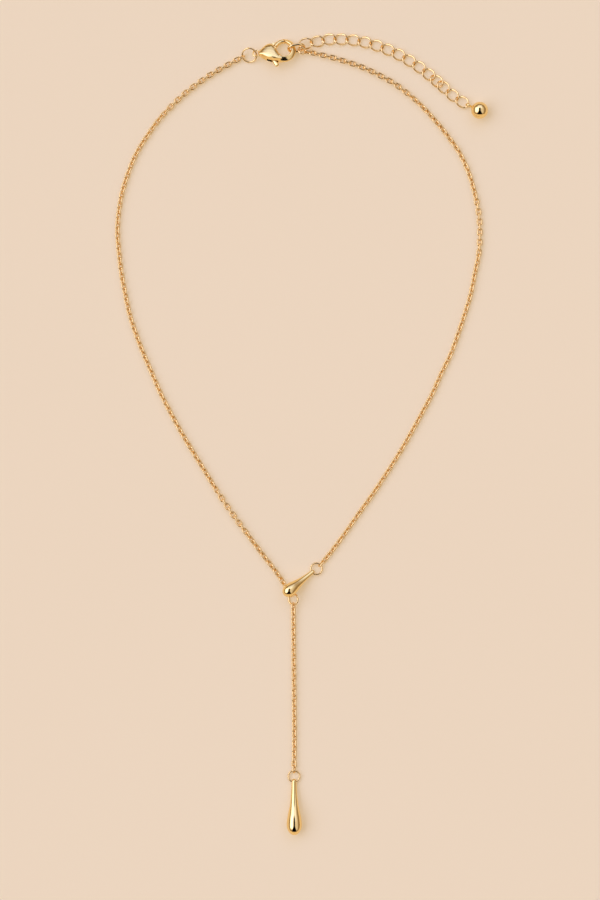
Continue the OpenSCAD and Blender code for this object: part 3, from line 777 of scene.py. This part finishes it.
def polishGroup():
    # Worn polish: a slow drift of tone and gloss, with fine rubbing marks over it
    group = bpy.data.node_groups.new("polishMarks", "ShaderNodeTree")
    for name in ("Bright", "Deep"):
        group.interface.new_socket(name, in_out="INPUT", socket_type="NodeSocketColor")
    for name in finishInputs:
        group.interface.new_socket(name, in_out="INPUT", socket_type="NodeSocketFloat")
    group.interface.new_socket("Color", in_out="OUTPUT", socket_type="NodeSocketColor")
    for name in ("Roughness", "Height"):
        group.interface.new_socket(name, in_out="OUTPUT", socket_type="NodeSocketFloat")
    nodes, links = group.nodes, group.links
    given = nodes.new("NodeGroupInput")
    result = nodes.new("NodeGroupOutput")
    place = nodes.new("ShaderNodeTexCoord")
    drift = nodes.new("ShaderNodeTexNoise")
    drift.inputs["Detail"].default_value = polishLook["driftDetail"]
    marks = nodes.new("ShaderNodeTexNoise")
    marks.inputs["Detail"].default_value = polishLook["marksDetail"]
    marks.inputs["Distortion"].default_value = polishLook["marksTwist"]
    stretch = nodes.new("ShaderNodeMapping")
    stretch.inputs["Scale"].default_value = polishLook["stretch"]
    links.new(place.outputs["Object"], drift.inputs["Vector"])
    links.new(place.outputs["Object"], stretch.inputs["Vector"])
    links.new(stretch.outputs["Vector"], marks.inputs["Vector"])
    links.new(given.outputs["Scale"], drift.inputs["Scale"])
    links.new(given.outputs["Marks"], marks.inputs["Scale"])
    share = nodes.new("ShaderNodeMath")
    share.operation = "MULTIPLY"
    links.new(drift.outputs["Fac"], share.inputs[0])
    links.new(given.outputs["Tone"], share.inputs[1])
    tone = nodes.new("ShaderNodeMix")
    tone.data_type = "RGBA"
    links.new(share.outputs["Value"], tone.inputs["Factor"])
    links.new(given.outputs["Bright"], tone.inputs["A"])
    links.new(given.outputs["Deep"], tone.inputs["B"])
    links.new(tone.outputs["Result"], result.inputs["Color"])
    gloss = nodes.new("ShaderNodeMapRange")
    gloss.inputs["From Min"].default_value = polishLook["marksFrom"]
    gloss.inputs["From Max"].default_value = polishLook["marksTo"]
    links.new(marks.outputs["Fac"], gloss.inputs["Value"])
    links.new(given.outputs["Low"], gloss.inputs["To Min"])
    links.new(given.outputs["High"], gloss.inputs["To Max"])
    links.new(gloss.outputs["Result"], result.inputs["Roughness"])
    links.new(marks.outputs["Fac"], result.inputs["Height"])
    return group


def goldMaterial(finish, group):
    f = finishes[finish]
    material = bpy.data.materials.new(finish)
    material.use_nodes = True
    nodes, links = material.node_tree.nodes, material.node_tree.links
    shader = nodes["Principled BSDF"]
    shader.inputs["Metallic"].default_value = 1
    # The wires' lacquer gives them pale edges
    shader.inputs["Coat Weight"].default_value = f["lacquer"]
    shader.inputs["Coat Roughness"].default_value = lacquerLook["roughness"]
    shader.inputs["Coat IOR"].default_value = lacquerLook["ior"]
    polish = nodes.new("ShaderNodeGroup")
    polish.node_tree = group
    polish.inputs["Bright"].default_value = (*f["gold"]["bright"], 1)
    polish.inputs["Deep"].default_value = (*f["gold"]["deep"], 1)
    for name in finishInputs:
        polish.inputs[name].default_value = f[name]
    links.new(polish.outputs["Color"], shader.inputs["Base Color"])
    links.new(polish.outputs["Roughness"], shader.inputs["Roughness"])
    bump = nodes.new("ShaderNodeBump")
    bump.inputs["Strength"].default_value = f["bump"]
    bump.inputs["Distance"].default_value = polishLook["bumpDepth"]
    links.new(polish.outputs["Height"], bump.inputs["Height"])
    links.new(bump.outputs["Normal"], shader.inputs["Normal"])
    return material


# glow is an even emission on the floor, painted light that lifts its shadows and lights the gold from
# below
floorLook = {"pale": (0.57, 0.51, 0.428), "deep": (0.55, 0.49, 0.412), "glow": (0.407, 0.29, 0.14),
             "roughness": 0.9, "specular": 0.15, "cloud": 9, "cloudDetail": 4, "cloudRoughness": 0.55,
             "stretch": (0.6, 1.3, 1), "grain": 1800, "bump": 0.1, "bumpDepth": 0.0001}


def floorMaterial():
    material = bpy.data.materials.new("paperFloor")
    material.use_nodes = True
    nodes, links = material.node_tree.nodes, material.node_tree.links
    shader = nodes["Principled BSDF"]
    shader.inputs["Roughness"].default_value = floorLook["roughness"]
    shader.inputs["Specular IOR Level"].default_value = floorLook["specular"]
    # The floor glows a little though it is no lamp: painted light that keeps a shadow on it warm and
    # pale
    shader.inputs["Emission Color"].default_value = (*floorLook["glow"], 1)
    shader.inputs["Emission Strength"].default_value = 1
    place = nodes.new("ShaderNodeTexCoord")
    stretch = nodes.new("ShaderNodeMapping")
    stretch.inputs["Scale"].default_value = floorLook["stretch"]
    cloud = nodes.new("ShaderNodeTexNoise")
    cloud.inputs["Scale"].default_value = floorLook["cloud"]
    cloud.inputs["Detail"].default_value = floorLook["cloudDetail"]
    cloud.inputs["Roughness"].default_value = floorLook["cloudRoughness"]
    tone = nodes.new("ShaderNodeMix")
    tone.data_type = "RGBA"
    tone.inputs["A"].default_value = (*floorLook["pale"], 1)
    tone.inputs["B"].default_value = (*floorLook["deep"], 1)
    links.new(place.outputs["Object"], stretch.inputs["Vector"])
    links.new(stretch.outputs["Vector"], cloud.inputs["Vector"])
    links.new(cloud.outputs["Fac"], tone.inputs["Factor"])
    links.new(tone.outputs["Result"], shader.inputs["Base Color"])
    grain = nodes.new("ShaderNodeTexNoise")
    grain.inputs["Scale"].default_value = floorLook["grain"]
    bump = nodes.new("ShaderNodeBump")
    bump.inputs["Strength"].default_value = floorLook["bump"]
    bump.inputs["Distance"].default_value = floorLook["bumpDepth"]
    links.new(place.outputs["Object"], grain.inputs["Vector"])
    links.new(grain.outputs["Fac"], bump.inputs["Height"])
    links.new(bump.outputs["Normal"], shader.inputs["Normal"])
    return material


# Studio: floor, camera and the soft light all round

studio = {"floorSize": 12, "floorDrop": 0.00002, "seen": (0.84, 0.66, 0.5), "strength": 1.0}
camera = {"at": (-0.0003, -0.0048), "height": 1.0, "frameLong": 0.27, "sensor": 36, "clip": (0.01, 20)}
# The sky as seen in a mirror ball from above: middles and half sizes are tangents of half the angle
# from straight up. Each panel is added, the camera's dark stand on the near side takes light away.
panels = {
    "keyLeft": {"middle": (-0.37, 0.03), "half": (0.25, 0.33), "soft": 0.17,
                "light": (1.9, 2.05, 2.7)},
    "bridgeFar": {"middle": (0.02, 0.45), "half": (0.28, 0.21), "soft": 0.15,
                  "light": (0.64, 0.83, 1.4)},
    "fillRight": {"middle": (0.27, -0.04), "half": (0.26, 0.4), "soft": 0.18,
                  "light": (0.47, 0.53, 0.68)},
    "frontPaper": {"middle": (0, -1.15), "half": (1.4, 0.55), "soft": 0.08,
                   "light": (0.55, 0.45, 0.36)},
}
stand = {"top": 0.26, "waist": -0.06, "foot": -0.62, "slant": 0.55, "wide": 0.11, "middle": -0.01,
         "soft": 0.04}
skyTone = (0.31, 0.21, 0.12)
lowestView = -0.2


def skyNodes(nodes, links):
    # Small helpers that add one math node and hand back its output
    def mathNode(kind, a, b=None):
        node = nodes.new("ShaderNodeMath")
        node.operation = kind
        for socket, value in zip(node.inputs, (a, b)):
            if isinstance(value, (int, float)):
                socket.default_value = value
            elif value is not None:
                links.new(value, socket)
        return node.outputs["Value"]

    def fade(value, low, high):
        node = nodes.new("ShaderNodeMapRange")
        node.interpolation_type = "SMOOTHSTEP"
        node.inputs["From Min"].default_value = low
        node.inputs["From Max"].default_value = high
        links.new(value, node.inputs["Value"])
        return node.outputs["Result"]

    def window(value, middle, half, soft):
        # 1 inside the width, 0 outside it, soft between
        far = mathNode("ABSOLUTE", mathNode("SUBTRACT", value, middle))
        return mathNode("SUBTRACT", 1, fade(far, half - soft, half + soft))

    place = nodes.new("ShaderNodeTexCoord")
    split = nodes.new("ShaderNodeSeparateXYZ")
    links.new(place.outputs["Generated"], split.inputs["Vector"])
    under = mathNode("ADD", mathNode("MAXIMUM", split.outputs["Z"], lowestView), 1)
    p = mathNode("DIVIDE", split.outputs["X"], under)
    q = mathNode("DIVIDE", split.outputs["Y"], under)
    total = None
    for panel in panels.values():
        mask = mathNode("MULTIPLY", window(p, panel["middle"][0], panel["half"][0], panel["soft"]),
                     window(q, panel["middle"][1], panel["half"][1], panel["soft"]))
        lit = nodes.new("ShaderNodeVectorMath")
        lit.operation = "SCALE"
        lit.inputs[0].default_value = panel["light"]
        links.new(mask, lit.inputs["Scale"])
        add = nodes.new("ShaderNodeVectorMath")
        add.operation = "ADD"
        links.new(lit.outputs["Vector"], add.inputs[0])
        if total is None:
            add.inputs[1].default_value = skyTone
        else:
            links.new(total, add.inputs[1])
        total = add.outputs["Vector"]
    # The dark stand widens from its waist to its foot
    below = mathNode("MAXIMUM", mathNode("SUBTRACT", stand["waist"], q), 0)
    wide = mathNode("ADD", stand["wide"], mathNode("MULTIPLY", below, stand["slant"]))
    far = mathNode("SUBTRACT", mathNode("ABSOLUTE", mathNode("SUBTRACT", p, stand["middle"])), wide)
    across = mathNode("SUBTRACT", 1, fade(far, -stand["soft"], stand["soft"]))
    middle = (stand["top"] + stand["foot"]) / 2
    half = (stand["top"] - stand["foot"]) / 2
    dark = mathNode("MULTIPLY", across, window(q, middle, half, stand["soft"]))
    sky = nodes.new("ShaderNodeVectorMath")
    sky.operation = "SCALE"
    links.new(total, sky.inputs[0])
    links.new(mathNode("SUBTRACT", 1, dark), sky.inputs["Scale"])
    return sky.outputs["Vector"]


def buildStudio():
    bm = bmesh.new()
    bmesh.ops.create_grid(bm, x_segments=8, y_segments=8, size=studio["floorSize"] / 2)
    mesh = bpy.data.meshes.new("Floor")
    bm.to_mesh(mesh)
    bm.free()
    floor = bpy.data.objects.new("Floor", mesh)
    floor.location = (0, 0, -studio["floorDrop"])
    bpy.context.scene.collection.objects.link(floor)
    floor.data.materials.append(floorMaterial())
    world = bpy.data.worlds.new("Studio")
    bpy.context.scene.world = world
    world.use_nodes = True
    nodes, links = world.node_tree.nodes, world.node_tree.links
    back = nodes["Background"]
    back.inputs["Strength"].default_value = studio["strength"]
    seen = nodes.new("ShaderNodeLightPath")
    blend = nodes.new("ShaderNodeMix")
    blend.data_type = "RGBA"
    links.new(skyNodes(nodes, links), blend.inputs["A"])
    blend.inputs["B"].default_value = (*studio["seen"], 1)
    links.new(seen.outputs["Is Camera Ray"], blend.inputs["Factor"])
    links.new(blend.outputs["Result"], back.inputs["Color"])
    lens = bpy.data.cameras.new("Overhead")
    lens.type = "PERSP"
    lens.sensor_width = camera["sensor"]
    lens.lens = camera["sensor"] * camera["height"] / camera["frameLong"]
    lens.clip_start, lens.clip_end = camera["clip"]
    overhead = bpy.data.objects.new("Overhead", lens)
    overhead.location = (*camera["at"], camera["height"])
    bpy.context.scene.collection.objects.link(overhead)
    bpy.context.scene.camera = overhead
    bpy.context.scene.view_settings.view_transform = "Standard"


strands, wireRings, extenderLinks, drops, castings = [], [], [], [], []
buildStudio()
print("studio made")
buildStrands()
buildRings()
buildExtender()
print("chains and rings made")
buildPendant()
buildSmallDrop()
print("drops made")
buildClaspBody()
buildClaspLever()
print("clasp made")

polish = polishGroup()
for finish, group in (("chainGold", strands), ("wireGold", wireRings + extenderLinks),
                      ("dropGold", drops), ("castGold", castings)):
    material = goldMaterial(finish, polish)
    for piece in group:
        piece.data.materials.clear()
        piece.data.materials.append(material)
# The CAD's own solids, which the pieces above replace
plain = goldMaterial("castGold", polish)
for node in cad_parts.values():
    node.data.materials.clear()
    node.data.materials.append(plain)
print("materials placed")
